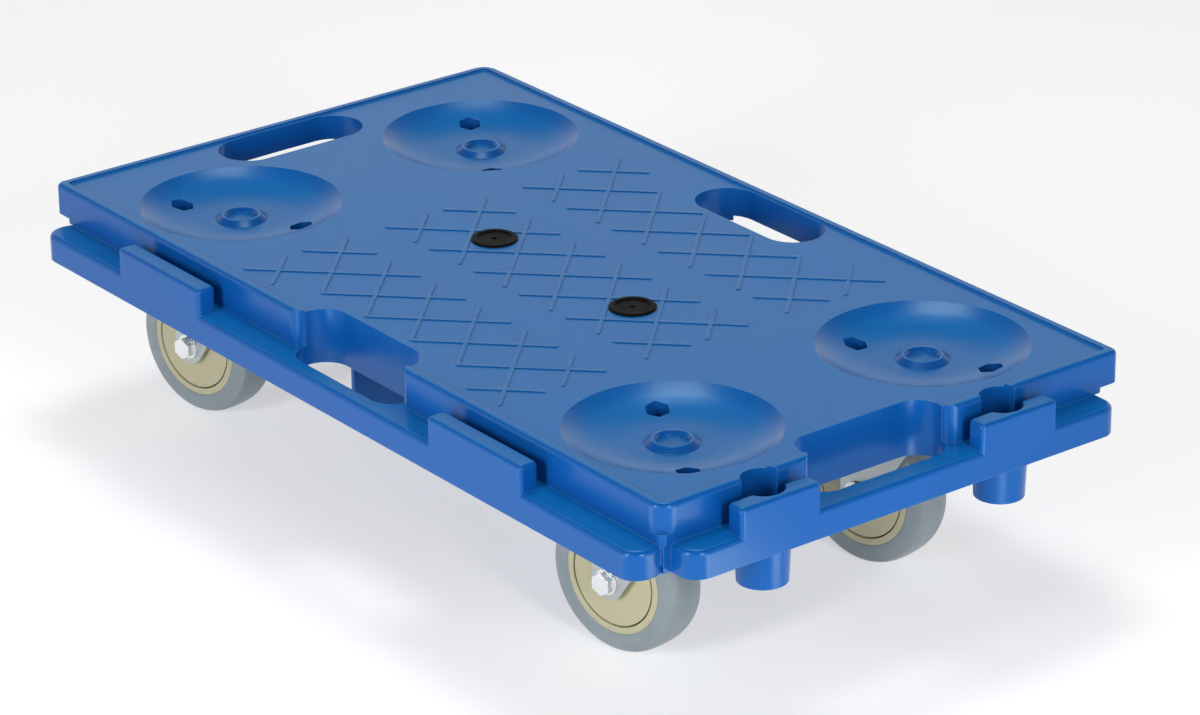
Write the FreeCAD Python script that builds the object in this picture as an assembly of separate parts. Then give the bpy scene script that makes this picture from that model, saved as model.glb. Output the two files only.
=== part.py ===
"""Interlocking platform dolly: one moulded deck on four swivel casters.

Units are millimetres, +Z is up, and the origin is on the floor under the middle of the footprint.
The front is the long side at -Y. The front and right sides carry tabbed coupling strips, and the
rear and left sides carry the lips that hook over a neighbour's strips.
"""
import FreeCAD, Part
import math
import os

# overall form of the deck
footprintLength = 681.0      # X, deck and right strip
footprintWidth = 385.2       # Y, deck and front strip
stripWidth = 21.0
deckTop = 158.5              # load surface
rimHeight = 1.5
rimWidth = 6.3
cornerRadius = 12.0          # front right and rear left; the other two are small
smallCorner = 6.0
stepCorner = 5.0
skin = 4.0                   # deck plate and outer walls
wallFoot = 121.5             # lower edge of the body walls
lipUnder = 138.5
stripTop = 135.0
stripFoot = 116.5
stripCorner = 13.0
lipOverhang = 13.0
rimWall = 6.2                # wall left outside the lip pockets

deckLeft = -footprintLength / 2
deckRight = footprintLength / 2 - stripWidth
deckFront = -footprintWidth / 2 + stripWidth
deckRear = footprintWidth / 2
bodyLeft = deckLeft + stripWidth + 1.0
bodyRear = deckRear - stripWidth - 1.0
stepLeft = deckLeft + lipOverhang
stepRear = deckRear - lipOverhang
stripSideStart = -164.1      # where the right strip starts, inside the front wall's line
stripRearEnd = 174.3
stripLeftEnd = -324.3
rimTop = deckTop + rimHeight

# coupling tabs
tabTop = 153.0
tabThickness = 14.0
frontTabLength = 95.0
frontTabCentres = (-182.0, 164.0)
sideTabLength = 61.0
sideTabCentres = (-97.1, 90.9)
tabClearance = 1.0

# handle sockets
socketX = 322.5
socketRadius = 14.0
postRadius = 17.0
postFoot = 92.5
socketFloor = 97.0
socketDrain = 9.0

# hand openings, as (centre, centre, length, width)
rearHole = (3.6, 162.9, 112.0, 43.0)
leftHole = (-310.5, 1.6, 112.0, 43.0)
frontNotch = (4.0, -163.8, 112.0, 35.8)
sideNotch = (308.4, -1.6, 109.0, 33.8)
mouthRadius = 8.0

# wheel dishes and caster positions
dishX = 232.0
dishY = 99.8
dishMiddleY = 6.9
dishRadius = 67.7
dishDepth = 13.0
padFoot = 127.0
boltOffset = (40.6, 20.5)
boltRadius = 4.0
hexAcross = 14.4
headSeat = 136.3
boltEnd = 113.0
padHalf = (56.0, 37.0)
cellPitch = (58.0, 56.0)
cellRib = 3.0
webX = 29.0                  # the two deep ribs across the middle
webFoot = 107.0

# round plugs
plugX = 73.5
plugY = 0.9
plugRadius = 15.6
plugProud = 1.5
plugStem = 10.0

# casters
wheelRadius = 50.0
hubRadius = 36.5
hubHalf = 14.3
trail = 37.0
heading = 191.0
forkGap = 16.0
forkPlate = 3.0
crownTop = 118.0
plateThickness = 3.0
ballRadius = 2.9
racewayRadius = 22.0
ballLevel = (padFoot - plateThickness - 1.0 + crownTop) / 2
cupFoot = 105.5
lowerRadius = 11.5
lowerBall = 2.4
kingpinRadius = 6.0
axleRadius = 4.0
washer = 1.6
sleeveRadius = 6.0


def block(x0, x1, y0, y1, z0, z1):
    return Part.makeBox(x1 - x0, y1 - y0, z1 - z0, FreeCAD.Vector(x0, y0, z0))


def post(x, y, z0, z1, r0, r1=None):
    """Upright cylinder, or a cone frustum when a second radius is given."""
    base = FreeCAD.Vector(x, y, z0)
    if r1 is None or r1 == r0:
        return Part.makeCylinder(r0, z1 - z0, base)
    return Part.makeCone(r0, r1, z1 - z0, base)


def uprightEdges(solid):
    picked = []
    for edge in solid.Edges:
        a, b = edge.Vertexes[0].Point, edge.Vertexes[-1].Point
        if abs(a.x - b.x) < 1e-6 and abs(a.y - b.y) < 1e-6 and abs(a.z - b.z) > 1e-3:
            picked.append(edge)
    return picked


def levelEdges(solid, z):
    return [e for e in solid.Edges if abs(e.BoundBox.ZMin - z) < 1e-4 and abs(e.BoundBox.ZMax - z) < 1e-4]


def softBlock(x0, x1, y0, y1, z0, z1, radius, top=0.0, foot=0.0):
    """Block with rounded upright corners, and rounded top and bottom edges where wanted.

    Two radii are the pair for the front right and rear left corners, then for the other two.
    """
    solid = block(x0, x1, y0, y1, z0, z1)
    first, second = radius if isinstance(radius, tuple) else (radius, radius)
    middle = ((x0 + x1) / 2, (y0 + y1) / 2)
    for size, sign in ((first, -1), (second, 1)):
        picked = []
        for edge in uprightEdges(solid):
            x, y = edge.BoundBox.XMin, edge.BoundBox.YMin
            sharp = min(abs(x - x0), abs(x - x1)) < 1e-4 and min(abs(y - y0), abs(y - y1)) < 1e-4
            if sharp and sign * (x - middle[0]) * (y - middle[1]) > 0:
                picked.append(edge)
        solid = solid.makeFillet(size, picked)
    if top:
        solid = solid.makeFillet(top, levelEdges(solid, z1))
    if foot:
        solid = solid.makeFillet(foot, levelEdges(solid, z0))
    return solid


def obround(cx, cy, length, width, z0, z1, alongY=False):
    r = width / 2
    run = length / 2 - r
    if alongY:
        ends = [(cx, cy - run), (cx, cy + run)]
        middle = block(cx - r, cx + r, cy - run, cy + run, z0, z1)
    else:
        ends = [(cx - run, cy), (cx + run, cy)]
        middle = block(cx - run, cx + run, cy - r, cy + r, z0, z1)
    return middle.fuse([post(x, y, z0, z1, r) for x, y in ends]).removeSplitter()


def hexPrism(x, y, z0, z1, across, turn=0.0):
    radius = across / math.sqrt(3.0)
    corners = []
    for k in range(7):
        a = math.radians(turn + 60.0 * k)
        corners.append(FreeCAD.Vector(x + radius * math.cos(a), y + radius * math.sin(a), z0))
    face = Part.Face(Part.makePolygon(corners))
    return face.extrude(FreeCAD.Vector(0, 0, z1 - z0))


def turned(profile):
    """Solid of revolution about Z from (radius, height) points."""
    points = [FreeCAD.Vector(r, 0, z) for r, z in profile]
    points.append(points[0])
    face = Part.Face(Part.makePolygon(points))
    return face.revolve(FreeCAD.Vector(0, 0, 0), FreeCAD.Vector(0, 0, 1), 360)


def dishCentres():
    return [(sx * dishX, dishMiddleY + sy * dishY) for sy in (-1, 1) for sx in (-1, 1)]


def boltCentres(x, y):
    """The two bolts of a caster lie on the diagonal that points at the middle of the deck."""
    sx = 1 if x > 0 else -1
    sy = 1 if y > dishMiddleY else -1
    return [(x + k * sx * boltOffset[0], y + k * sy * boltOffset[1]) for k in (-1, 1)]


# ---------------------------------------------------------------- deck

def deckOuter():
    """Everything the deck fills before it is cored out: plate, body and coupling strips."""
    corners = (cornerRadius, smallCorner)
    plate = softBlock(deckLeft, deckRight, deckFront, deckRear, lipUnder, rimTop, corners, 3.0)
    step = softBlock(stepLeft, deckRight, deckFront, stepRear, stripTop, lipUnder + 3, stepCorner)
    body = softBlock(bodyLeft, deckRight, deckFront, bodyRear, wallFoot, lipUnder + 3, stepCorner)
    frontStrip = softBlock(stripLeftEnd, deckRight, -footprintWidth / 2, stripSideStart,
                           stripFoot, stripTop, stripCorner, 3.5)
    sideStrip = softBlock(deckRight - 30, footprintLength / 2, stripSideStart, stripRearEnd,
                          stripFoot, stripTop, stripCorner, 3.5)
    corner = block(deckRight - 30, deckRight, deckFront + 2, stripSideStart + 30, stripFoot, stripTop)
    webs = [block(side * webX - cellRib / 2, side * webX + cellRib / 2, frontNotch[1] + frontNotch[3] / 2,
                  rearHole[1] - rearHole[3] / 2 - skin, webFoot, stripTop) for side in (-1, 1)]
    return plate.fuse([step, body, frontStrip, sideStrip, corner] + webs).removeSplitter()


def tab(x0, x1, y0, y1):
    return softBlock(x0, x1, y0, y1, stripTop - 5, tabTop, 3.0, 2.5)


def tabs():
    front = -footprintWidth / 2
    right = footprintLength / 2
    solids = [tab(c - frontTabLength / 2, c + frontTabLength / 2, front, front + tabThickness)
              for c in frontTabCentres]
    solids += [tab(right - tabThickness, right, c - sideTabLength / 2, c + sideTabLength / 2)
               for c in sideTabCentres]
    return solids


def socketPosts():
    return [post(socketX, c, postFoot, stripFoot + 4, postRadius - 1.0, postRadius) for c in sideTabCentres]


def socketBores():
    cuts = []
    for c in sideTabCentres:
        cuts.append(post(socketX, c, socketFloor, rimTop + 1, socketRadius))
        cuts.append(post(socketX, c, postFoot - 1, socketFloor + 1, socketDrain))
    return cuts


def opening(hole, z0, z1, grow=0.0):
    cx, cy, length, width = hole
    return obround(cx, cy, length + 2 * grow, width + 2 * grow, z0, z1, abs(cx) > abs(cy))


def handHoles(grow=0.0):
    return [opening(hole, wallFoot - 1, rimTop + 1, grow) for hole in (rearHole, leftHole)]


def notches(grow=0.0):
    return [opening(hole, stripFoot - 1, rimTop + 1, grow) for hole in (frontNotch, sideNotch)]


def mouthPosts(radius):
    """Uprights that round the deck wall's corners beside the two notches."""
    r = mouthRadius
    spots = [(frontNotch[0] + side * (frontNotch[2] / 2 + r), deckFront + r) for side in (-1, 1)]
    spots += [(deckRight - r, sideNotch[1] + side * (sideNotch[2] / 2 + r)) for side in (-1, 1)]
    return [post(x, y, stripTop, rimTop + 1, radius) for x, y in spots]


def notchMouths():
    """Widens each notch where it meets the outside of the deck wall, above the strip."""
    r = mouthRadius
    x, y = frontNotch[0], sideNotch[1]
    halfX, halfY = frontNotch[2] / 2 + r, sideNotch[2] / 2 + r
    wide = [block(x - halfX, x + halfX, deckFront - 1, deckFront + r, stripTop, rimTop + 1),
            block(deckRight - r, deckRight + 1, y - halfY, y + halfY, stripTop, rimTop + 1)]
    return [block.cut(mouthPosts(r)) for block in wide]


def dishSphere(x, y, grow=0.0):
    r = (dishRadius ** 2 + dishDepth ** 2) / (2 * dishDepth)
    return Part.makeSphere(r + grow, FreeCAD.Vector(x, y, deckTop - dishDepth + r))


def panelRecess():
    x0, x1 = deckLeft + rimWidth, deckRight - rimWidth
    y0, y1 = deckFront + rimWidth, deckRear - rimWidth
    return softBlock(x0, x1, y0, y1, deckTop, rimTop + 2, 3.0)


def lipPockets():
    """Slots behind the rim, open below, that take the tabs of the next dolly."""
    z0, z1 = stripTop - 1, tabTop + 1.5
    depth = (rimWall, stripWidth + tabClearance)
    cuts = []
    for c in frontTabCentres:
        half = frontTabLength / 2 + tabClearance
        cuts.append(block(c - half, c + half, deckRear - depth[1], deckRear - depth[0], z0, z1))
    for c in sideTabCentres:
        half = sideTabLength / 2 + tabClearance
        cuts.append(block(deckLeft + depth[0], deckLeft + depth[1], c - half, c + half, z0, z1))
    return cuts


def gridLines(low, high, pitch):
    """Ends of the cells along one axis: ribs lie half a pitch either side of the middle."""
    lines = [k * pitch + pitch / 2 for k in range(-9, 9)]
    inner = [v for v in lines if low + 12 < v < high - 12]
    starts = [low] + [v + cellRib / 2 for v in inner]
    ends = [v - cellRib / 2 for v in inner] + [high]
    return list(zip(starts, ends))


def cells():
    """Cored pockets of the underside, between the stiffening ribs."""
    across = gridLines(bodyLeft + skin, deckRight - skin, cellPitch[0])
    along = gridLines(deckFront + skin, bodyRear - skin, cellPitch[1])
    return [block(x0, x1, y0, y1, webFoot - 1, deckTop - skin) for x0, x1 in across for y0, y1 in along]


def row(low, high, count, wall):
    run = (high - low + wall) / count
    return [(low + k * run, low + (k + 1) * run - wall) for k in range(count)]


def stripCells():
    """Cored pockets under the two coupling strips."""
    wall = 3.5
    front, right = -footprintWidth / 2, footprintLength / 2
    z0, z1 = stripFoot - 1, stripTop - wall
    solids = [block(a, b, front + wall, deckFront - 2.5, z0, z1)
              for a, b in row(stripLeftEnd + stripCorner, deckRight - stripCorner, 12, wall)]
    solids += [block(deckRight + 2.5, right - wall, a, b, z0, z1)
               for a, b in row(stripSideStart + stripCorner, stripRearEnd - stripCorner, 6, wall)]
    return solids


def lipCells():
    """Cored pockets under the overhanging lips, between the pockets that take the tabs."""
    z0, z1 = lipUnder - 1, deckTop - skin
    solids = []
    half = frontTabLength / 2 + tabClearance + skin
    left, right = frontTabCentres
    hole = rearHole[2] / 2 + skin
    for low, high, count in ((stepLeft + 8, left - half, 1), (left + half, rearHole[0] - hole, 2),
                             (rearHole[0] + hole, right - half, 1), (right + half, deckRight - 12, 3)):
        solids += [block(a, b, stepRear + 1, deckRear - skin, z0, z1)
                   for a, b in row(low, high, count, cellRib)]
    half = sideTabLength / 2 + tabClearance + skin
    near, far = sideTabCentres
    for low, high in ((deckFront + 8, near - half), (far + half, stepRear - 8)):
        solids += [block(deckLeft + skin, stepLeft - 1, low, high, z0, z1)]
    return solids


def dishShell(x, y):
    """Funnel that keeps an even wall under a dish."""
    return post(x, y, deckTop - dishDepth - skin, deckTop - skin, 42.0, 76.0)


def casterPad(x, y):
    """Bosses for the two bolts and a ring for the kingpin, tied by a frame that seats the caster plate."""
    px, py = padHalf
    frame = block(x - px, x + px, y - py, y + py, padFoot, deckTop - skin)
    frame = frame.cut(block(x - px + cellRib, x + px - cellRib, y - py + cellRib, y + py - cellRib,
                            padFoot - 1, deckTop))
    ring = post(x, y, padFoot, deckTop - skin, 25.0).cut(post(x, y, padFoot - 1, deckTop, 22.0))
    return [frame, ring] + [post(bx, by, padFoot, deckTop - skin, 12.0) for bx, by in boltCentres(x, y)]


def keepOuts():
    """What the coring leaves standing: dish shells, walls of the openings, bosses and pads."""
    solids = []
    for x, y in dishCentres():
        solids.append(dishShell(x, y))
        solids += casterPad(x, y)
    solids += handHoles(skin) + notches(skin)
    solids += [post(mast.BoundBox.Center.x, mast.BoundBox.Center.y, stripFoot - 1, rimTop, mouthRadius + 1)
               for mast in mouthPosts(mouthRadius)]
    solids += [post(socketX, c, stripFoot - 1, rimTop, postRadius + 0.5) for c in sideTabCentres]
    solids += [post(side * plugX, plugY, deckTop - 14, deckTop, plugStem + 4) for side in (-1, 1)]
    return solids


def casterClearance():
    """Room below the pads for the caster plates and for the turning forks."""
    cuts = []
    for x, y in dishCentres():
        cuts.append(block(x - 56, x + 56, y - 37, y + 37, stripFoot - 2, padFoot))
    return cuts


def dishes():
    return [dishSphere(x, y).common(block(x - 80, x + 80, y - 80, y + 80, 120, rimTop + 1))
            for x, y in dishCentres()]


def dishBoss(x, y):
    """Raised ring in the middle of a dish, domed over the head of the kingpin."""
    z = deckTop - dishDepth
    ring = turned([(9.5, z - 2), (18.5, z - 2), (18.5, z + 0.4), (13.2, z + 3.6), (11.4, z + 3.6),
                   (9.5, z + 1.2)])
    ring.translate(FreeCAD.Vector(x, y, 0))
    return ring


def boltPockets():
    cuts = []
    for x, y in dishCentres():
        for bx, by in boltCentres(x, y):
            cuts.append(hexPrism(bx, by, headSeat, rimTop, hexAcross, 30.0))
            cuts.append(post(bx, by, padFoot - 1, headSeat + 1, boltRadius + 0.4))
    return cuts


def makeDeck():
    outer = deckOuter()
    outer = outer.fuse(tabs() + socketPosts()).removeSplitter()
    outer = outer.cut([panelRecess()])
    coring = Part.makeCompound(cells() + stripCells() + lipCells()).cut(keepOuts())
    outer = outer.cut([coring] + lipPockets() + casterClearance())
    outer = outer.cut(dishes())
    outer = outer.fuse([dishBoss(x, y) for x, y in dishCentres()])
    outer = outer.cut(notches() + notchMouths() + handHoles() + socketBores() + boltPockets()
                      + [post(x, y, padFoot - 1, padFoot + 6, 9.5) for x, y in dishCentres()]
                      + [post(sx * plugX, plugY, deckTop - 20, rimTop, plugStem) for sx in (-1, 1)])
    return outer.removeSplitter()


# ---------------------------------------------------------------- plugs and fixings

def makePlug(side):
    """Press-in button: a raised rim round a shallow face with a small centre hole, and a barbed stem."""
    z = deckTop
    r = plugRadius
    profile = [(1.6, z + 0.2), (2.0, z + 0.6), (r - 4.2, z + 0.6), (r - 3.4, z + plugProud),
               (r - 1.0, z + plugProud), (r, z + plugProud - 1.0), (r, z), (plugStem - 0.1, z),
               (plugStem - 0.1, z - skin - 10), (plugStem + 0.9, z - skin - 10.6),
               (plugStem - 1.4, z - skin - 13.5), (0, z - skin - 13.5), (0, z - 2.4), (1.6, z - 2.4)]
    solid = turned(profile)
    solid.translate(FreeCAD.Vector(side * plugX, plugY, 0))
    return solid


def mountingBolts():
    solids = []
    for x, y in dishCentres():
        for bx, by in boltCentres(x, y):
            head = hexPrism(bx, by, headSeat, headSeat + 5.3, 13.0, 30.0)
            shank = post(bx, by, boltEnd, headSeat + 0.5, boltRadius)
            solids.append(head.fuse(shank).removeSplitter())
    return solids


def mountingNuts():
    """Flange nuts under the caster plates."""
    top = padFoot - plateThickness
    solids = []
    for x, y in dishCentres():
        for bx, by in boltCentres(x, y):
            nut = post(bx, by, top - 1.8, top, 9.0).fuse(hexPrism(bx, by, top - 8.0, top - 1.0, 13.0, 30.0))
            solids.append(nut.cut(post(bx, by, top - 9, top + 1, boltRadius)).removeSplitter())
    return solids


# ---------------------------------------------------------------- one caster, on the Z axis

def topPlate():
    """Pressed plate with four holes and a ball groove pressed down round the kingpin."""
    z1 = padFoot
    z0 = z1 - plateThickness
    r = racewayRadius
    plate = softBlock(-52, 52, -33, 33, z0, z1, 9.0)
    bead = turned([(r - 5.5, z0 + 1), (r - 4.5, z0 - 1.6), (r + 4.5, z0 - 1.6), (r + 5.5, z0 + 1)])
    plate = plate.fuse(bead)
    holes = [post(sx * boltOffset[0], sy * boltOffset[1], z0 - 1, z1 + 1, boltRadius + 0.6)
             for sx in (-1, 1) for sy in (-1, 1)]
    return plate.cut(holes + [ballTrack(), post(0, 0, z0 - 3, z1 + 1, kingpinRadius)]).removeSplitter()


def veeRing(radius, level, size):
    """Ring of six-sided section, the size of the balls that run in it."""
    half = size / 2
    return turned([(radius - size, level), (radius - half, level + size), (radius + half, level + size),
                   (radius + size, level), (radius + half, level - size), (radius - half, level - size)])


def ballTrack():
    """Cutter for the groove that the upper ball row runs in."""
    return veeRing(racewayRadius, ballLevel, ballRadius + 0.1)


def ballRings():
    """The two ball rows, each as one ring of the balls' size."""
    return [veeRing(racewayRadius, ballLevel, ballRadius),
            veeRing(lowerRadius, crownTop - forkPlate - lowerBall - 0.05, lowerBall)]


def kingpin():
    z = padFoot
    return turned([(0, z + 3.5), (8.0, z + 3.5), (8.6, z + 2.0), (8.6, z), (kingpinRadius, z),
                   (kingpinRadius, cupFoot), (9.0, cupFoot), (8.0, cupFoot - 3.2), (0, cupFoot - 3.2)])


def lowerCup():
    """Pressed cup, held by the kingpin's head, that carries the lower ball row."""
    seat = crownTop - forkPlate - 2 * lowerBall - 0.15
    rim, inner = lowerRadius + lowerBall, lowerRadius - lowerBall
    return turned([(kingpinRadius, cupFoot), (rim - 1.0, cupFoot), (rim + 1.5, cupFoot + 2.5),
                   (rim + 1.5, seat + 1.6), (rim + 0.2, seat + 1.6), (rim + 0.2, seat), (inner, seat),
                   (inner, cupFoot + 2.6), (kingpinRadius, cupFoot + 2.6)])


def forkOutline():
    """Side view of the fork, in the XZ plane, with the wheel behind the swivel axis at -X."""
    ax, az, r, top = -trail, wheelRadius, 12.4, crownTop
    p = [FreeCAD.Vector(x, 0, z) for x, z in (
        (-31, top), (31, top), (31, top - 8), (20.0, 93.4), (2.6, 88.0), (ax + r * 0.84, az - r * 0.542),
        (ax, az - r), (ax - r, az), (ax - r, az + 16), (-34, top - 20), (-31, top - 9))]
    middle = [None, None, (28.0, 98.5), (9.5, 91.8), None, (ax + r * 0.51, az - r * 0.86),
              (ax - r * 0.707, az - r * 0.707), None, (-42.0, 88.0), None, None]
    edges = []
    for k, via in enumerate(middle):
        a, b = p[k], p[(k + 1) % len(p)]
        curve = Part.Arc(a, FreeCAD.Vector(via[0], 0, via[1]), b) if via else Part.LineSegment(a, b)
        edges.append(curve.toShape())
    return Part.Face(Part.Wire(edges))


def fork():
    """One pressing: crown and two cheeks, bent from plate, cut to the side view."""
    half = forkGap + forkPlate
    outer = block(-60, 40, -half, half, 20, crownTop)
    outer = outer.makeFillet(6.0, [e for e in levelEdges(outer, crownTop) if e.BoundBox.XLength > 50])
    inner = block(-61, 41, -forkGap, forkGap, 19, crownTop - forkPlate)
    bends = [e for e in levelEdges(inner, crownTop - forkPlate) if e.BoundBox.XLength > 50]
    inner = inner.makeFillet(3.0, bends)
    channel = outer.cut(inner)
    side = forkOutline().extrude(FreeCAD.Vector(0, 2 * half + 2, 0))
    side.translate(FreeCAD.Vector(0, -half - 1, 0))
    cheeks = channel.common(side)
    crown = turned([(0, crownTop), (29.0, crownTop), (31.5, crownTop - 2.4), (31.5, crownTop - 7.0),
                    (28.6, crownTop - 7.0), (28.6, crownTop - forkPlate), (0, crownTop - forkPlate)])
    shape = cheeks.fuse(crown).removeSplitter()
    shape = shape.cut([post(0, 0, 90, crownTop + 1, kingpinRadius + 2.5), ballTrack()])
    shape = shape.cut(axleBore(axleRadius, half + 1))
    return shape


def axleBore(radius, half):
    start = FreeCAD.Vector(-trail, -half, wheelRadius)
    return Part.makeCylinder(radius, 2 * half, start, FreeCAD.Vector(0, 1, 0))


def axleTurned(profile):
    """Solid of revolution about the axle from (radius, offset along the axle) points."""
    solid = turned(profile)
    solid.rotate(FreeCAD.Vector(0, 0, 0), FreeCAD.Vector(1, 0, 0), -90)
    solid.translate(FreeCAD.Vector(-trail, 0, wheelRadius))
    return solid


def axleHex(y0, y1, across):
    prism = hexPrism(0, 0, y0, y1, across, 30.0)
    prism.rotate(FreeCAD.Vector(0, 0, 0), FreeCAD.Vector(1, 0, 0), -90)
    prism.translate(FreeCAD.Vector(-trail, 0, wheelRadius))
    return prism


def axleBolt():
    seat = forkGap + forkPlate + washer
    head = axleHex(-seat - 5.3, -seat, 13.0)
    shank = axleTurned([(0, -seat - 0.5), (axleRadius, -seat - 0.5), (axleRadius, seat + 9.0),
                        (axleRadius - 0.8, seat + 10.0), (0, seat + 10.0)])
    return head.fuse(shank).removeSplitter()


def axleNut():
    seat = forkGap + forkPlate + washer
    return axleHex(seat, seat + 8.0, 13.0).cut(axleBore(axleRadius, seat + 20))


def axleWashers():
    half = forkGap + forkPlate
    return [axleTurned([(axleRadius, y), (8.4, y), (8.4, y + washer), (axleRadius, y + washer)])
            for y in (-half - washer, half)]


def axleSleeve():
    return axleTurned([(axleRadius, -forkGap), (sleeveRadius, -forkGap), (sleeveRadius, forkGap),
                       (axleRadius, forkGap)])


def wheelHub():
    """Moulded hub: a flat side face with a narrow groove near its edge, and a rib that locks the tyre."""
    h = hubHalf
    side = [(sleeveRadius + 0.08, h + 1.2), (11.0, h + 1.2), (11.0, h), (31.0, h), (31.0, h - 1.6),
            (32.2, h - 1.6), (32.2, h), (hubRadius, h), (hubRadius, 5.0), (hubRadius + 3.0, 4.0)]
    return axleTurned(side + [(r, -y) for r, y in reversed(side)])


def tyre():
    h = hubHalf
    side = [(hubRadius + 3.0, 4.0), (hubRadius, 5.0), (hubRadius, h), (43.0, h - 1.0), (48.4, h - 3.2),
            (49.8, h - 6.0), (wheelRadius, 0.0)]
    return axleTurned(side + [(r, -y) for r, y in reversed(side[:-1])])


def placed(solids, x, y, turn):
    moved = []
    for solid in solids if isinstance(solids, list) else [solids]:
        copy = solid.copy()
        copy.rotate(FreeCAD.Vector(0, 0, 0), FreeCAD.Vector(0, 0, 1), turn)
        copy.translate(FreeCAD.Vector(x, y, 0))
        moved.append(copy)
    return moved[0] if len(moved) == 1 else Part.makeCompound(moved)


def casterNodes(name, x, y):
    turning = heading - 180.0
    fixed = {"top_plate": topPlate(), "kingpin": kingpin(), "lower_cup": lowerCup(),
             "ball_rings": ballRings()}
    swung = {"fork": fork(), "axle_bolt": axleBolt(), "axle_nut": axleNut(), "axle_washers": axleWashers(),
             "axle_sleeve": axleSleeve(), "wheel_hub": wheelHub(), "tyre": tyre()}
    nodes = {name + "_" + k: placed(v, x, y, 0.0) for k, v in fixed.items()}
    nodes.update({name + "_" + k: placed(v, x, y, turning) for k, v in swung.items()})
    return nodes


def build():
    nodes = {"deck": makeDeck(), "left_plug": makePlug(-1), "right_plug": makePlug(1),
             "caster_bolts": Part.makeCompound(mountingBolts()),
             "caster_nuts": Part.makeCompound(mountingNuts())}
    corners = ("front_left", "front_right", "rear_left", "rear_right")
    for corner, (x, y) in zip(corners, dishCentres()):
        nodes.update(casterNodes(corner, x, y))
    return nodes


os.makedirs("parts", exist_ok=True)
for nodeName, shape in build().items():
    shape.exportStep("parts/" + nodeName + ".step")
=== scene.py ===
import bpy, bmesh, math
from mathutils import Matrix, Vector


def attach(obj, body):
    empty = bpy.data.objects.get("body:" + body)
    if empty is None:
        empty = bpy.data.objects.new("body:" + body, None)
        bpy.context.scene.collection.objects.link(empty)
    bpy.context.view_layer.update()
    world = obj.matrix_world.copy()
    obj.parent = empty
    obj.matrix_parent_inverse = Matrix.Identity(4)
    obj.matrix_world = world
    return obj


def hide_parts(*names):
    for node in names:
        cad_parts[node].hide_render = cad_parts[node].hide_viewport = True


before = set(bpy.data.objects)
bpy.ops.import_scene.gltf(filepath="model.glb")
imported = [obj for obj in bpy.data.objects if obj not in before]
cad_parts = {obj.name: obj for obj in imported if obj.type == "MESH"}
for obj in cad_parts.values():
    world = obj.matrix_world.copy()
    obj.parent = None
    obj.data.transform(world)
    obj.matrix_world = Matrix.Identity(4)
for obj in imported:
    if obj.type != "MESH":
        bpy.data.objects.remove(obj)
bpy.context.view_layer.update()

mm = 0.001  # sizes are in millimetres, apart from those of the materials, the studio and the camera
deckTop = 158.5
corners = {"front_left": (-232.0, -92.9), "front_right": (232.0, -92.9),
           "rear_left": (-232.0, 106.7), "rear_right": (232.0, 106.7)}  # kingpins, and middles of the dishes


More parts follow.
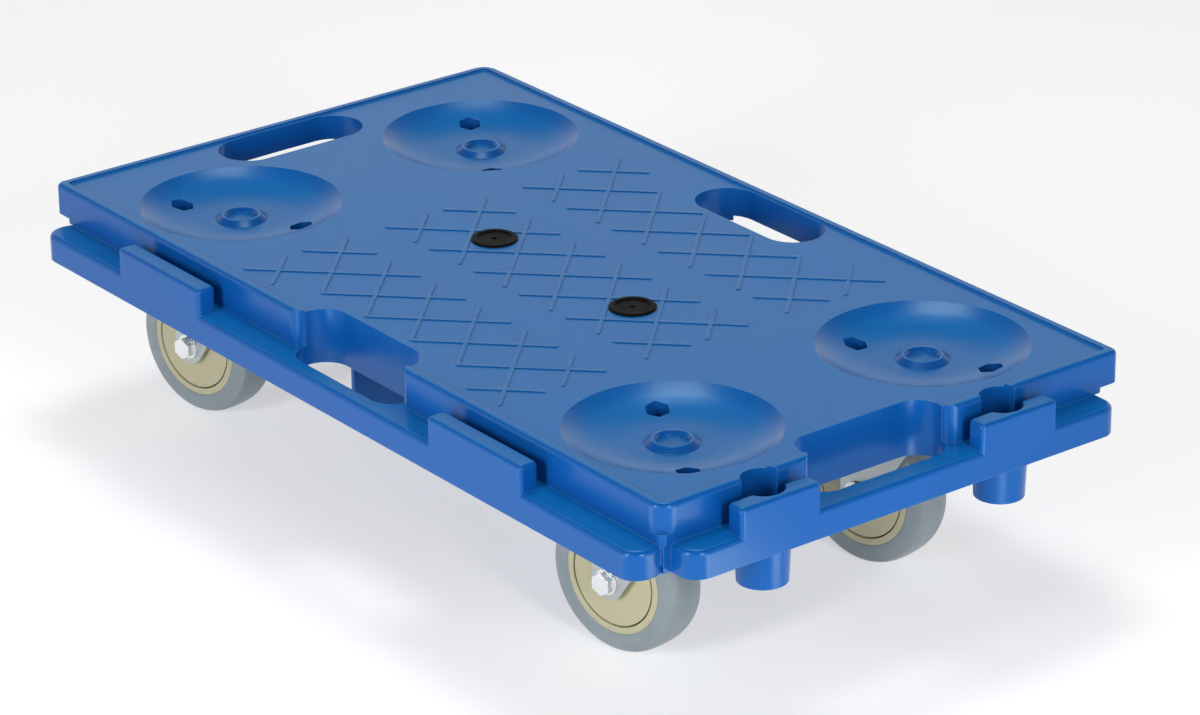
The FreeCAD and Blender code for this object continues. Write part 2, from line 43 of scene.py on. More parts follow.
# adds shader nodes to one material and joins them
class Nodes:

    def __init__(self, name):
        self.material = bpy.data.materials.new(name)
        self.material.use_nodes = True
        self.tree = self.material.node_tree
        self.tree.nodes.clear()
        self.out = self.tree.nodes.new("ShaderNodeOutputMaterial")
        self.bsdf = self.tree.nodes.new("ShaderNodeBsdfPrincipled")
        self.join(self.bsdf.outputs["BSDF"], self.out.inputs["Surface"])
        self.coords = self.tree.nodes.new("ShaderNodeTexCoord").outputs["Object"]

    def join(self, a, b):
        self.tree.links.new(a, b)

    def put(self, socket, value):
        if isinstance(value, bpy.types.NodeSocket):
            self.join(value, socket)
        else:
            socket.default_value = value

    def mapping(self, scale, turn=0.0):  # stretched coordinates, turned about Z
        n = self.tree.nodes.new("ShaderNodeMapping")
        self.join(self.coords, n.inputs["Vector"])
        n.inputs["Scale"].default_value = scale
        n.inputs["Rotation"].default_value = (0, 0, turn)
        return n.outputs["Vector"]

    def noise(self, vector, scale, detail=2.0, rough=0.5, distortion=0.0):
        n = self.tree.nodes.new("ShaderNodeTexNoise")
        self.join(vector, n.inputs["Vector"])
        n.inputs["Scale"].default_value = scale
        n.inputs["Detail"].default_value = detail
        n.inputs["Roughness"].default_value = rough
        n.inputs["Distortion"].default_value = distortion
        return n.outputs["Fac"]

    def ramp(self, value, low, high, a=0.0, b=1.0):  # eases from a to b as the value goes from low to high
        n = self.tree.nodes.new("ShaderNodeMapRange")
        n.interpolation_type = "SMOOTHSTEP"
        self.join(value, n.inputs["Value"])
        for key, v in (("From Min", low), ("From Max", high), ("To Min", a), ("To Max", b)):
            n.inputs[key].default_value = v
        return n.outputs["Result"]

    def maths(self, operation, a, b=0.0, c=0.0):
        n = self.tree.nodes.new("ShaderNodeMath")
        n.operation = operation
        for socket, value in zip(n.inputs, (a, b, c)):
            self.put(socket, value)
        return n.outputs[0]

    def mix(self, factor, a, b):  # inputs 6 and 7 and output 2 are the mix node's colour sockets
        n = self.tree.nodes.new("ShaderNodeMix")
        n.data_type = "RGBA"
        self.put(n.inputs[0], factor)
        for socket, value in ((n.inputs[6], a), (n.inputs[7], b)):
            self.put(socket, value if isinstance(value, bpy.types.NodeSocket) else (*value, 1.0))
        return n.outputs[2]

    def bevel(self, radius, samples=6):
        n = self.tree.nodes.new("ShaderNodeBevel")
        n.samples = samples
        n.inputs["Radius"].default_value = radius
        return n.outputs["Normal"]

    def facing(self, axis):  # share of the surface's direction that points along one axis
        geometry = self.tree.nodes.new("ShaderNodeNewGeometry")
        parts = self.tree.nodes.new("ShaderNodeSeparateXYZ")
        self.join(geometry.outputs["Normal"], parts.inputs[0])
        return parts.outputs[axis]

    def bend(self, rounded):  # how far a rounded normal has turned from the surface's own
        geometry = self.tree.nodes.new("ShaderNodeNewGeometry")
        product = self.tree.nodes.new("ShaderNodeVectorMath")
        product.operation = "DOT_PRODUCT"
        self.join(geometry.outputs["Normal"], product.inputs[0])
        self.join(rounded, product.inputs[1])
        return self.maths("SUBTRACT", 1.0, product.outputs["Value"])

    def bump(self, height, distance, strength, normal=None):
        n = self.tree.nodes.new("ShaderNodeBump")
        self.join(height, n.inputs["Height"])
        n.inputs["Distance"].default_value = distance
        n.inputs["Strength"].default_value = strength
        if normal is not None:
            self.join(normal, n.inputs["Normal"])
        return n.outputs["Normal"]

    def finish(self, **values):  # Base_Color stands for the socket "Base Color", and so on
        for key, value in values.items():
            socket = self.bsdf.inputs[key.replace("_", " ")]
            if isinstance(value, tuple) and len(value) == 3 and socket.type == "RGBA":
                value = (*value, 1.0)
            self.put(socket, value)
        return self.material


deckLook = {
    # the paler colour for upward faces is a painted sheen; the sides keep the plastic's own blue
    "sides": (0.003, 0.080, 0.325), "sheenTops": (0.003, 0.160, 0.495),
    # the pale edge colour is a painted highlight along the rounded edges
    "scuffed": (0.085, 0.270, 0.500), "edges": (0.130, 0.370, 0.640),
    "upward": (0.80, 0.995),  # where a face counts as a top
    "topSheenShare": (0.85, 1.0), "scuffShare": 0.30, "edgeHighlightShare": 0.55,
    "patches": 9.0, "grain": 2600.0,
    "flow": {"scale": (40.0, 900.0, 40.0), "turn": 0.35},
    "scuffs": {"scale": (25.0, 700.0, 25.0), "turn": -0.6},
    "roughness": (0.20, 0.27), "topRoughness": 0.06,
    "edgeRadius": 0.0006, "relief": 0.00003, "reliefShare": 0.6,
    "reflection": 0.30, "tint": (0.70, 1.0, 0.95),
}


# moulded blue plastic, duller on its upper faces, with flow marks and faint scuffs; the upper faces are
# painted paler as a painted sheen, and the edges are painted pale as painted highlights
def deckPlastic():
    look = deckLook
    m = Nodes("deckPlastic")
    broad = m.noise(m.coords, look["patches"], 3.0)
    grain = m.noise(m.coords, look["grain"], 2.0, 0.6)
    flow = m.noise(m.mapping(**look["flow"]), 1.0, 3.0, 0.6, 0.4)
    scuff = m.noise(m.mapping(**look["scuffs"]), 1.0, 2.0, 0.7, 0.8)
    scuffs = m.ramp(scuff, 0.66, 0.80)
    patches = m.ramp(broad, 0.45, 0.75)
    upward = m.ramp(m.facing("Z"), *look["upward"])
    worn = m.maths("MULTIPLY", m.maths("MULTIPLY", scuffs, patches), look["scuffShare"])
    rounded = m.bevel(look["edgeRadius"])
    # painted highlight: rounded edges are painted pale where the rounded normal turns away
    edges = m.ramp(m.bend(rounded), 0.02, 0.22, 0.0, look["edgeHighlightShare"])
    # painted sheen: faces that point up are painted paler
    topSheenShare = m.maths("MULTIPLY", upward, m.ramp(broad, 0.3, 0.8, *look["topSheenShare"]))
    base = m.mix(topSheenShare, look["sides"], look["sheenTops"])
    colour = m.mix(edges, m.mix(worn, base, look["scuffed"]), look["edges"])
    rough = m.maths("ADD", m.maths("MULTIPLY", upward, look["topRoughness"]),
                    m.ramp(broad, 0.2, 0.8, *look["roughness"]))
    height = m.maths("ADD", m.maths("MULTIPLY", grain, 0.6), m.maths("MULTIPLY", flow, 0.4))
    return m.finish(Base_Color=colour, Roughness=rough,
                    Normal=m.bump(height, look["relief"], look["reliefShare"], rounded),
                    IOR=1.49, Specular_IOR_Level=look["reflection"], Specular_Tint=look["tint"])


plugLook = {"colours": ((0.004, 0.004, 0.004), (0.012, 0.011, 0.009)), "dust": 0.3, "patches": 120.0,
            "grain": 2200.0, "roughness": (0.35, 0.5), "edgeRadius": 0.0004, "relief": 0.00003,
            "reflection": 0.04}


# satin black, a little dusty
def plugPlastic():
    look = plugLook
    m = Nodes("plugPlastic")
    grain = m.noise(m.coords, look["grain"], 2.0)
    broad = m.noise(m.coords, look["patches"], 2.0)
    colour = m.mix(m.ramp(broad, 0.3, 0.8, 0.0, look["dust"]), *look["colours"])
    return m.finish(Base_Color=colour, Roughness=m.ramp(broad, 0.2, 0.8, *look["roughness"]),
                    Normal=m.bump(grain, look["relief"], 0.5, m.bevel(look["edgeRadius"])),
                    Specular_IOR_Level=look["reflection"])


hubLook = {"colours": ((0.395, 0.375, 0.240), (0.37, 0.345, 0.215)), "shade": 0.35, "patches": 60.0,
           "grain": 1800.0, "roughness": (0.38, 0.5), "edgeRadius": 0.0004, "relief": 0.00003}


# beige moulded plastic
def hubPlastic():
    look = hubLook
    m = Nodes("hubPlastic")
    broad = m.noise(m.coords, look["patches"], 3.0)
    grain = m.noise(m.coords, look["grain"], 2.0)
    colour = m.mix(m.ramp(broad, 0.3, 0.8, 0.0, look["shade"]), *look["colours"])
    return m.finish(Base_Color=colour, Roughness=m.ramp(broad, 0.2, 0.8, *look["roughness"]),
                    Normal=m.bump(grain, look["relief"], 0.5, m.bevel(look["edgeRadius"])))


tyreLook = {"colours": ((0.200, 0.240, 0.265), (0.150, 0.185, 0.205)), "shade": 0.5, "patches": 45.0,
            "grain": 3000.0, "roughness": (0.34, 0.46), "relief": 0.00003}


# grey rubber that leaves no marks
def tyreRubber():
    look = tyreLook
    m = Nodes("tyreRubber")
    broad = m.noise(m.coords, look["patches"], 4.0, 0.6)
    grain = m.noise(m.coords, look["grain"], 3.0)
    colour = m.mix(m.ramp(broad, 0.3, 0.75, 0.0, look["shade"]), *look["colours"])
    return m.finish(Base_Color=colour, Roughness=m.ramp(broad, 0.2, 0.8, *look["roughness"]),
                    Normal=m.bump(grain, look["relief"], 0.6))


zincLook = {"colours": ((0.46, 0.50, 0.50), (0.58, 0.62, 0.62)), "shade": 0.5, "patches": 70.0,
            "brush": (300.0, 300.0, 2600.0), "roughness": (0.26, 0.42), "edgeRadius": 0.0004,
            "relief": 0.00002}


# bright zinc plate on the pressings
def zincPlate():
    look = zincLook
    m = Nodes("zincPlate")
    broad = m.noise(m.coords, look["patches"], 3.0)
    brushed = m.noise(m.mapping(look["brush"]), 1.0, 3.0, 0.6)
    colour = m.mix(m.ramp(broad, 0.3, 0.8, 0.0, look["shade"]), *look["colours"])
    return m.finish(Base_Color=colour, Metallic=1.0,
                    Roughness=m.ramp(brushed, 0.2, 0.8, *look["roughness"]),
                    Normal=m.bump(brushed, look["relief"], 0.5, m.bevel(look["edgeRadius"])))


boltLook = {"colour": (0.82, 0.84, 0.85), "patches": 260.0, "grain": 1400.0, "roughness": (0.18, 0.34),
            "edgeRadius": 0.0004, "relief": 0.00004}


# brighter plate on the screws, nuts, washers and sleeves
def boltSteel():
    look = boltLook
    m = Nodes("boltSteel")
    broad = m.noise(m.coords, look["patches"], 3.0)
    grain = m.noise(m.coords, look["grain"], 3.0, 0.6)
    return m.finish(Base_Color=look["colour"], Metallic=1.0,
                    Roughness=m.ramp(broad, 0.2, 0.8, *look["roughness"]),
                    Normal=m.bump(grain, look["relief"], 0.6, m.bevel(look["edgeRadius"])))


ballLook = {"colours": ((0.6, 0.6, 0.62), (0.35, 0.33, 0.28)), "smears": 160.0, "roughness": (0.12, 0.35)}


# polished steel with grease on it
def ballSteel():
    look = ballLook
    m = Nodes("ballSteel")
    smear = m.noise(m.coords, look["smears"], 2.0)
    return m.finish(Base_Color=m.mix(m.ramp(smear, 0.3, 0.8), *look["colours"]), Metallic=1.0,
                    Roughness=m.ramp(smear, 0.2, 0.8, *look["roughness"]))


plastic = deckPlastic()
black = plugPlastic()
beige = hubPlastic()
rubber = tyreRubber()
zinc = zincPlate()
balls = ballSteel()
steel = boltSteel()
print("stage: materials")

shading = {"flat": 0.9999995, "crease": 18.0, "weld": 2e-6}  # cosine, degrees, metres


def placed(name, data):
    obj = bpy.data.objects.new(name, data)
    bpy.context.collection.objects.link(obj)
    return obj


# smooth shading with the edges over an angle kept sharp
def smooth(mesh, angle):
    for polygon in mesh.polygons:
        polygon.use_smooth = True
    mesh.set_sharp_from_angle(angle=math.radians(angle))


# for each face, the area of the flat region that it is a part of
def flatAreas(work):
    areas = [0.0] * len(work.faces)
    seen = set()
    for start in work.faces:
        if start.index in seen:
            continue
        region = []
        waiting = [start]
        seen.add(start.index)
        while waiting:
            face = waiting.pop()
            region.append(face)
            for edge in face.edges:
                for other in edge.link_faces:
                    if other.index not in seen and other.normal.dot(start.normal) > shading["flat"]:
                        seen.add(other.index)
                        waiting.append(other)
        total = sum(face.calc_area() for face in region)
        for face in region:
            areas[face.index] = total
    return areas


# normal of each face corner: flat regions stay flat, and round ones run smoothly into them
def cornerNormals(work, limit):
    areas = flatAreas(work)
    normals = {}
    for vert in work.verts:
        waiting = {loop.face.index: loop for loop in vert.link_loops}
        while waiting:
            fan = [waiting.popitem()[1]]
            for loop in fan:
                for edge in (loop.edge, loop.link_loop_prev.edge):
                    for face in edge.link_faces:
                        if face.index in waiting and face.normal.dot(loop.face.normal) > limit:
                            fan.append(waiting.pop(face.index))
            total = Vector()
            for loop in fan:
                total += loop.face.normal * (loop.calc_angle() * areas[loop.face.index])
            total.normalize()
            for loop in fan:
                normals[loop.index] = total
    return normals


# the bowls keep their rims but get a flatter, shallower bottom; their faces are first cut down to the step
dish = {"rim": 67.7, "depth": 13.0, "sphere": 182.8, "floor": 147.7, "flat": 25.0, "power": 2.4,
        "step": 4.5, "passes": 5, "rimMargin": 0.1, "bowlMargin": 0.25, "under": 0.4}
flange = {"near": 288.0, "far": 308.0, "half": 60.0, "lowest": 121.5}  # inner walls of both end openings
webs = {"middle": 29.0, "half": 2.0, "foot": 107.0, "deeper": 86.0}  # two plates under the deck's middle
leftLip = {"inner": -325.0, "half": 62.0, "foot": 138.5, "higher": 141.0}
footMargin = 0.1


# heights of the plain bowl and of the flatter one at a distance from a dish's middle
def dishHeights(radius):
    plain = deckTop - dish["depth"] + dish["sphere"] - math.sqrt(dish["sphere"] ** 2 - radius ** 2)
    rise = max(0.0, (radius - dish["flat"]) / (dish["rim"] - dish["flat"])) ** dish["power"]
    return plain, dish["floor"] + (deckTop - dish["floor"]) * rise


def nearestDish(point):
    return min(math.hypot(point.x / mm - x, point.y / mm - y) for x, y in corners.values())


def withinDish(vert):
    return nearestDish(vert.co) < dish["rim"] + dish["rimMargin"]


def onDish(vert):
    bowl = dishHeights(min(nearestDish(vert.co), dish["rim"]))[0]
    return withinDish(vert) and abs(vert.co.z / mm - bowl) < dish["bowlMargin"]


def cutUpDishes(work):
    for turn in range(dish["passes"]):
        inside = {face for face in work.faces if all(onDish(vert) for vert in face.verts)}
        longEdges = [edge for edge in work.edges if edge.calc_length() > dish["step"] * mm
                     and any(face in inside for face in edge.link_faces)
                     and all(withinDish(vert) for vert in edge.verts)]
        if not longEdges:
            break
        bmesh.ops.subdivide_edges(work, edges=longEdges, cuts=1)
        bmesh.ops.triangulate(work, faces=[face for face in work.faces if len(face.verts) > 3])


def deckForm(work):
    cutUpDishes(work)
    for vert in work.verts:
        radius = nearestDish(vert.co)
        if radius < dish["rim"] - dish["rimMargin"] / 2:
            plain, flatter = dishHeights(radius)
            if vert.co.z / mm > plain - dish["under"]:
                vert.co.z += (flatter - plain) * mm
        x, y, z = vert.co / mm
        if flange["near"] < abs(x) < flange["far"] and abs(y) < flange["half"]:
            vert.co.z = max(vert.co.z, flange["lowest"] * mm)
        if abs(abs(x) - webs["middle"]) < webs["half"] and abs(z - webs["foot"]) < footMargin:
            vert.co.z = webs["deeper"] * mm
        if x < leftLip["inner"] and abs(y) < leftLip["half"] and abs(z - leftLip["foot"]) < footMargin:
            vert.co.z = leftLip["higher"] * mm


# welded copy of a part's own mesh, reshaped where a form is given, with its shading normals
def mergedCopy(name, node, form=None):
    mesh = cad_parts[node].data.copy()
    mesh.name = name
    work = bmesh.new()
    work.from_mesh(mesh)
    bmesh.ops.remove_doubles(work, verts=work.verts, dist=shading["weld"])
    if form:
        form(work)
    work.faces.index_update()
    work.normal_update()
    work.to_mesh(mesh)
    work.free()
    work = bmesh.new()
    work.from_mesh(mesh)
    work.faces.ensure_lookup_table()
    normals = cornerNormals(work, math.cos(math.radians(shading["crease"])))
    work.free()
    for polygon in mesh.polygons:
        polygon.use_smooth = True
    mesh.normals_split_custom_set([normals[k] for k in range(len(mesh.loops))])
    return placed(name, mesh)


def carry(node, body, material, form=None):
    obj = mergedCopy(node + "_skin", node, form)
    obj.data.materials.clear()
    obj.data.materials.append(material)
    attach(obj, body)
    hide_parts(node)


carry("deck", "chassis", plastic, deckForm)
for side in ("left", "right"):
    carry(side + "_plug", "chassis", black)
print("stage: deck and plugs")

wheel = {"trail": 37.0, "heading": 191.0, "radius": 50.0}
hub = {"bore": 6.08, "boreMouth": 6.4, "boss": 11.0, "bossHalf": 15.5, "faceHalf": 14.0,
       "grooveIn": 31.1, "grooveOut": 32.0, "grooveFloor": 8.0, "draft": 0.1, "rim": 36.5, "rimHalf": 14.3,
       "rimRound": 0.5, "key": (39.5, 4.0), "keyFoot": 5.0, "chamfer": 0.4, "smallChamfer": 0.3,
       "steps": 96, "crease": 30.0}
tyre = {"seat": [(39.5, 4.0), (36.5, 5.0), (36.5, 14.0), (36.8, 14.2)],
        "wall": [(38.5, 14.2), (41.5, 14.0), (44.5, 13.6), (46.6, 13.2), (47.5, 12.95), (48.0, 12.75)],
        "shoulder": [(48.3, 12.3), (48.4, 11.7), (48.75, 11.1), (49.2, 10.1)],
        "tread": [(49.6, 8.3), (49.85, 5.6), (49.97, 2.6), (50.0, 0.0)],
        "steps": 160, "crease": 40.0}  # stretches of the section as (radius, offset) points


# both halves of a section whose first half is given for positive offsets
def mirrored(side):
    return side + [(r, -y) for r, y in reversed(side) if y > 1e-6]


# boss, face, fine groove, rim and the key that the tyre is moulded round
def hubSection():
    c = hub["chamfer"]
    s = hub["smallChamfer"]
    boss = [(hub["bore"], hub["bossHalf"] - s), (hub["boreMouth"], hub["bossHalf"]),
            (hub["boss"] - c, hub["bossHalf"]), (hub["boss"], hub["bossHalf"] - c)]
    face = [(hub["boss"], hub["faceHalf"]), (hub["grooveIn"] - s, hub["faceHalf"]),
            (hub["grooveIn"], hub["faceHalf"] - s)]
    groove = [(hub["grooveIn"] + hub["draft"], hub["grooveFloor"]),
              (hub["grooveOut"] - hub["draft"], hub["grooveFloor"])]
    rim = [(hub["grooveOut"], hub["rimHalf"] - c), (hub["grooveOut"] + c, hub["rimHalf"]),
           (hub["rim"] - hub["rimRound"], hub["rimHalf"]), (hub["rim"], hub["rimHalf"] - c)]
    return mirrored(boss + face + groove + rim + [(hub["rim"], hub["keyFoot"]), hub["key"]])


def tyreSection():
    return mirrored(tyre["seat"] + tyre["wall"] + tyre["shoulder"] + tyre["tread"])


# closed ring of a section given as (radius, offset) points, turned about the axle
def lathe(work, profile, place, steps):
    rings = []
    for k in range(steps):
        a = 2 * math.pi * k / steps
        ring = [place @ Vector((r * math.cos(a), y, r * math.sin(a))) for r, y in profile]
        rings.append([work.verts.new(point) for point in ring])
    for k in range(steps):
        here, there = rings[k], rings[(k + 1) % steps]
        for i in range(len(profile)):
            j = (i + 1) % len(profile)
            work.faces.new((here[i], here[j], there[j], there[i]))


# takes a wheel drawn about the origin to the end of its fork
def wheelPlace(corner):
    x, y = corners[corner]
    a = math.radians(wheel["heading"])
    turn = Matrix.Rotation(a - math.pi, 4, "Z")
    axle = (x + wheel["trail"] * math.cos(a), y + wheel["trail"] * math.sin(a), wheel["radius"])
    return Matrix.Translation(axle) @ turn


def turnedPiece(name, profile, sizes, corner, material, node):
    work = bmesh.new()
    lathe(work, profile, wheelPlace(corner), sizes["steps"])
    bmesh.ops.scale(work, vec=(mm, mm, mm), verts=work.verts)
    bmesh.ops.recalc_face_normals(work, faces=work.faces)
    mesh = bpy.data.meshes.new(name)
    work.to_mesh(mesh)
    work.free()
    smooth(mesh, sizes["crease"])
    mesh.materials.append(material)
    obj = placed(name, mesh)
    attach(obj, corner + "_wheel")
    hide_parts(node)


def wheelPieces(corner):
    turnedPiece(corner + "_hub_skin", hubSection(), hub, corner, beige, corner + "_wheel_hub")
    turnedPiece(corner + "_tyre_skin", tyreSection(), tyre, corner, rubber, corner + "_tyre")


for node in ("caster_bolts", "caster_nuts"):
    carry(node, "chassis", steel)
for corner in corners:
    for part in ("top_plate", "kingpin", "lower_cup"):
        carry(corner + "_" + part, "chassis", zinc)
    carry(corner + "_ball_rings", "chassis", balls)
    carry(corner + "_fork", corner + "_swivel", zinc)
    for part in ("axle_bolt", "axle_nut", "axle_washers", "axle_sleeve"):
        carry(corner + "_" + part, corner + "_swivel", steel)
    wheelPieces(corner)
print("stage: casters and wheels")

# anti-slip ribs: three groups of crossing lines; half is half the diagonal of one diamond of the lattice
lattice = {"half": 24.45, "width": 2.6, "height": 0.55, "slope": 0.8, "sink": 0.3, "under": 0.04,
           "middle": (3.4, -1.5), "reach": (139.8, 40.8), "groups": (-113.4, 0.0, 113.4), "lines": 7,
           "cutLow": range(2, 6), "cutHigh": range(1, 5), "studSides": 20, "studDrop": 0.52, "crease": 40.0}


# first and last crossing count of one rib: the field's edge clips it, and so do the hand holes
def ribSpan(rising, line, offset):
    across = lattice["lines"] - 1
    wide, deep = (v / lattice["half"] for v in lattice["reach"])
    low = max(line - deep, across - line - wide)
    high = min(line + deep, across - line + wide)
    lowEnd = (offset < 0) == rising  # which end meets a hand hole; the middle group meets none
    if offset and lowEnd and line in lattice["cutLow"]:
        low = line - 1
    if offset and not lowEnd and line in lattice["cutHigh"]:
        high = line + 1
    return low, high


# place of a point on a rib, counted in crossings; the falling ribs lie a hair lower
def ribEnd(rising, line, count, offset):
    x = (line + count - (lattice["lines"] - 1)) * lattice["half"] + lattice["middle"][0]
    y = (count - line) * lattice["half"] * (1 if rising else -1) + offset + lattice["middle"][1]
    return Vector((x, y, deckTop - (0.0 if rising else lattice["under"])))


def latticeEdges():
    points = []
    edges = []
    for offset in lattice["groups"]:
        for rising in (True, False):
            for line in range(lattice["lines"]):
                edges.append((len(points), len(points) + 1))
                points += [ribEnd(rising, line, k, offset) * mm for k in ribSpan(rising, line, offset)]
    mesh = bpy.data.meshes.new("lattice_edges")
    mesh.from_pydata(points, edges, [])
    return mesh


# geometry tree with named inputs, ended by Realize Instances and Set Material
class Tree:

    def __init__(self, name):
        self.group = bpy.data.node_groups.new(name, "GeometryNodeTree")
        self.sockets = {}
        self.group.interface.new_socket("Geometry", in_out="INPUT", socket_type="NodeSocketGeometry")
        self.group.interface.new_socket("Geometry", in_out="OUTPUT", socket_type="NodeSocketGeometry")
        self.source = self.node("NodeGroupInput")

    def size(self, name):
        item = self.group.interface.new_socket(name, in_out="INPUT", socket_type="NodeSocketFloat")
        self.sockets[name] = item.identifier
        return self.source.outputs[name]

    def node(self, kind, mode=None, **inputs):
        n = self.group.nodes.new(kind)
        if mode:
            n.mode = mode
        for key, value in inputs.items():
            self.put(n.inputs[key.replace("_", " ")], value)
        return n

    def put(self, socket, value):
        if isinstance(value, bpy.types.NodeSocket):
            self.group.links.new(value, socket)
        else:
            socket.default_value = value

    def maths(self, operation, a, b):
        n = self.node("ShaderNodeMath")
        n.operation = operation
        self.put(n.inputs[0], a)
        self.put(n.inputs[1], b)
        return n.outputs[0]

    def end(self, geometry, material):
        whole = self.node("GeometryNodeRealizeInstances", Geometry=geometry)
        done = self.node("GeometryNodeSetMaterial", Geometry=whole.outputs[0], Material=material)
        self.put(self.node("NodeGroupOutput").inputs[0], done.outputs[0])


# each edge becomes a bar with sloped flanks, and each of its ends a tapered round stud
def ribTree():
    tree = Tree("ribs")
    width = tree.size("Width")
    height = tree.size("Height")
    slope = tree.size("Slope")
    sink = tree.size("Sink")
    top = tree.maths("SUBTRACT", width, tree.maths("MULTIPLY", slope, 2.0))
    depth = tree.maths("ADD", height, sink)
    edges = tree.source.outputs["Geometry"]
    lines = tree.node("GeometryNodeMeshToCurve", Mesh=edges)
    level = tree.node("GeometryNodeSetCurveNormal", "Z_UP", Curve=lines.outputs[0])
    section = tree.node("GeometryNodeCurvePrimitiveQuadrilateral", "TRAPEZOID", Height=depth,
                        Bottom_Width=width, Top_Width=top, Offset=0.0)
    bars = tree.node("GeometryNodeCurveToMesh", Curve=level.outputs[0], Profile_Curve=section.outputs[0],
                     Fill_Caps=False)
    stud = tree.node("GeometryNodeMeshCone", Vertices=lattice["studSides"], Depth=depth,
                     Radius_Top=tree.maths("MULTIPLY", top, 0.5),
                     Radius_Bottom=tree.maths("MULTIPLY", width, 0.5))
    down = tree.node("ShaderNodeCombineXYZ", Z=tree.maths("MULTIPLY", depth, -lattice["studDrop"]))
    stud = tree.node("GeometryNodeTransform", Geometry=stud.outputs[0], Translation=down.outputs[0])
    ends = tree.node("GeometryNodeMeshToPoints", Mesh=edges)
    studs = tree.node("GeometryNodeInstanceOnPoints", Points=ends.outputs[0], Instance=stud.outputs[0])
    joined = tree.node("GeometryNodeJoinGeometry")
    tree.put(joined.inputs[0], bars.outputs[0])
    tree.put(joined.inputs[0], studs.outputs[0])
    middle = tree.maths("MULTIPLY", tree.maths("SUBTRACT", height, sink), 0.5)
    lift = tree.node("ShaderNodeCombineXYZ", Z=middle)
    raised = tree.node("GeometryNodeTransform", Geometry=joined.outputs[0], Translation=lift.outputs[0])
    tree.end(raised.outputs[0], plastic)
    return tree


# runs a tree over a mesh and keeps the result as a plain mesh
def grown(name, mesh, tree, sizes):
    obj = placed(name, mesh)
    modifier = obj.modifiers.new("tree", "NODES")
    modifier.node_group = tree.group
    for key, value in sizes.items():
        modifier[tree.sockets[key]] = value * mm
    depsgraph = bpy.context.evaluated_depsgraph_get()
    result = bpy.data.meshes.new_from_object(obj.evaluated_get(depsgraph))
    obj.modifiers.clear()
    obj.data = result
    result.name = name
    return obj


ribs = grown("deck_ribs", latticeEdges(), ribTree(),
             {"Width": lattice["width"], "Height": lattice["height"], "Slope": lattice["slope"],
              "Sink": lattice["sink"]})
smooth(ribs.data, lattice["crease"])
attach(ribs, "chassis")
print("stage: anti-slip ribs")

floorLook = {"colour": (0.80, 0.80, 0.80), "roughness": 0.85, "size": 40.0, "level": 0.42}
glow = {"strength": 5.0, "azimuths": (-73.0, -3.0), "core": 4.0, "fade": 9.0, "near": 0.40, "nearFade": 0.15,
        "far": 1.6, "farFade": 0.4}


# pale and evenly lit, with two brighter patches off to the sides that the round corners mirror
def floorPaint():
    m = Nodes("floorPaint")
    parts = m.tree.nodes.new("ShaderNodeSeparateXYZ")
    m.join(m.coords, parts.inputs[0])
    azimuth = m.maths("ARCTAN2", parts.outputs["Y"], parts.outputs["X"])
    reach = m.maths("SQRT", m.maths("ADD", m.maths("POWER", parts.outputs["X"], 2.0),
                                    m.maths("POWER", parts.outputs["Y"], 2.0)))
    ring = m.maths("MULTIPLY", m.ramp(reach, glow["near"], glow["near"] + glow["nearFade"]),
                   m.ramp(reach, glow["far"], glow["far"] + glow["farFade"], 1.0, 0.0))
    level = floorLook["level"]
    for angle in glow["azimuths"]:
        off = m.maths("ABSOLUTE", m.maths("SUBTRACT", azimuth, math.radians(angle)))
        share = m.ramp(off, math.radians(glow["core"]), math.radians(glow["fade"]), 1.0, 0.0)
        patch = m.maths("MULTIPLY", m.maths("MULTIPLY", share, ring), glow["strength"])
        level = m.maths("ADD", patch, level)
    return m.finish(Base_Color=floorLook["colour"], Roughness=floorLook["roughness"],
                    Emission_Color=(1.0, 1.0, 1.0), Emission_Strength=level)


def makeFloor():
    h = floorLook["size"] / 2
    mesh = bpy.data.meshes.new("floor")
    mesh.from_pydata([(-h, -h, 0), (h, -h, 0), (h, h, 0), (-h, h, 0)], [], [(0, 1, 2, 3)])
    mesh.materials.append(floorPaint())
    placed("floor", mesh)


lights = {
    "top": {"place": (-0.36, 0.27, 2.3), "size": (0.8, 0.8), "power": 15.0},
    "left": {"place": (0.5, -2.6, 0.95), "size": (0.5, 1.3), "power": 38.0},
    "right": {"place": (2.75, -0.5, 0.95), "size": (0.5, 1.3), "power": 38.0},
}
aim = (0, 0, 0.1)


def areaLight(name, place, size, power):
    data = bpy.data.lights.new(name, "AREA")
    data.shape = "RECTANGLE"
    data.size, data.size_y = size
    data.energy = power
    obj = placed(name, data)
    obj.location = place
    obj.rotation_mode = "QUATERNION"
    obj.rotation_quaternion = (Vector(aim) - Vector(place)).to_track_quat("-Z", "Y")


# brightness from level up to straight overhead; the side that it points towards is the brighter one
backdrop = {"bands": ((0.0, 1.15), (0.30, 1.0), (0.43, 0.72), (0.54, 0.25), (0.70, 0.12), (1.0, 0.16)),
            "dimSide": 0.35, "brightSide": 1.0, "towards": (-0.8, 0.6, 0.0), "turn": (-0.6, 0.5)}


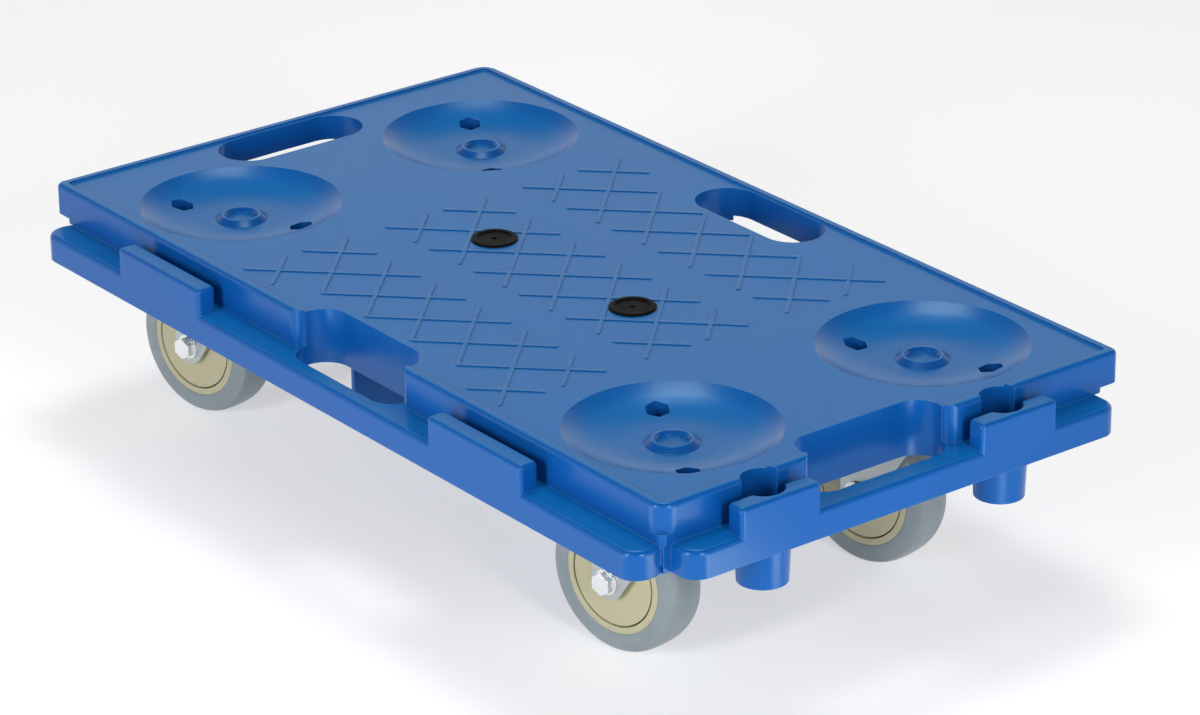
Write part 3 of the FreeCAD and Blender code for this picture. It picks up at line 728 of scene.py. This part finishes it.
def studioWorld():
    world = bpy.data.worlds.new("studio")
    world.use_nodes = True
    tree = world.node_tree
    coords = tree.nodes.new("ShaderNodeTexCoord")
    parts = tree.nodes.new("ShaderNodeSeparateXYZ")
    tree.links.new(coords.outputs["Generated"], parts.inputs[0])
    ramp = tree.nodes.new("ShaderNodeValToRGB")
    elements = ramp.color_ramp.elements
    while len(elements) < len(backdrop["bands"]):
        elements.new(0.5)
    for element, (place, level) in zip(elements, backdrop["bands"]):
        element.position = place
        element.color = (level, level, level, 1.0)
    tree.links.new(parts.outputs["Z"], ramp.inputs[0])
    away = tree.nodes.new("ShaderNodeVectorMath")
    away.operation = "DOT_PRODUCT"
    away.inputs[1].default_value = backdrop["towards"]
    tree.links.new(coords.outputs["Generated"], away.inputs[0])
    share = tree.nodes.new("ShaderNodeMapRange")
    tree.links.new(away.outputs["Value"], share.inputs["Value"])
    low, high = backdrop["turn"]
    for key, value in (("From Min", low), ("From Max", high), ("To Min", backdrop["dimSide"]),
                       ("To Max", backdrop["brightSide"])):
        share.inputs[key].default_value = value
    background = tree.nodes["Background"]
    tree.links.new(ramp.outputs[0], background.inputs["Color"])
    tree.links.new(share.outputs["Result"], background.inputs["Strength"])
    bpy.context.scene.world = world


makeFloor()
for name, light in lights.items():
    areaLight(name, **light)
studioWorld()
bpy.context.scene.view_settings.view_transform = "Standard"
print("stage: studio")

eye = {"azimuth": 52.501, "elevation": 23.693, "roll": -0.633, "place": (2.35729, -1.77804, 1.39427),
       "lens": 148.64, "sensor": 36.0, "clip": (0.1, 60.0)}  # angles in degrees, places in metres


def makeCamera():
    data = bpy.data.cameras.new("eye")
    data.lens = eye["lens"]
    data.sensor_width = eye["sensor"]
    data.clip_start, data.clip_end = eye["clip"]
    a = math.radians(eye["azimuth"])
    e = math.radians(eye["elevation"])
    back = Vector((math.sin(a) * math.cos(e), -math.cos(a) * math.cos(e), math.sin(e)))
    level = (-back).to_track_quat("-Z", "Y").to_matrix()
    turn = level @ Matrix.Rotation(math.radians(eye["roll"]), 3, "Z")
    obj = placed("eye", data)
    obj.location = eye["place"]
    obj.rotation_mode = "QUATERNION"
    obj.rotation_quaternion = turn.to_quaternion()
    bpy.context.scene.camera = obj


makeCamera()
print("stage: camera")
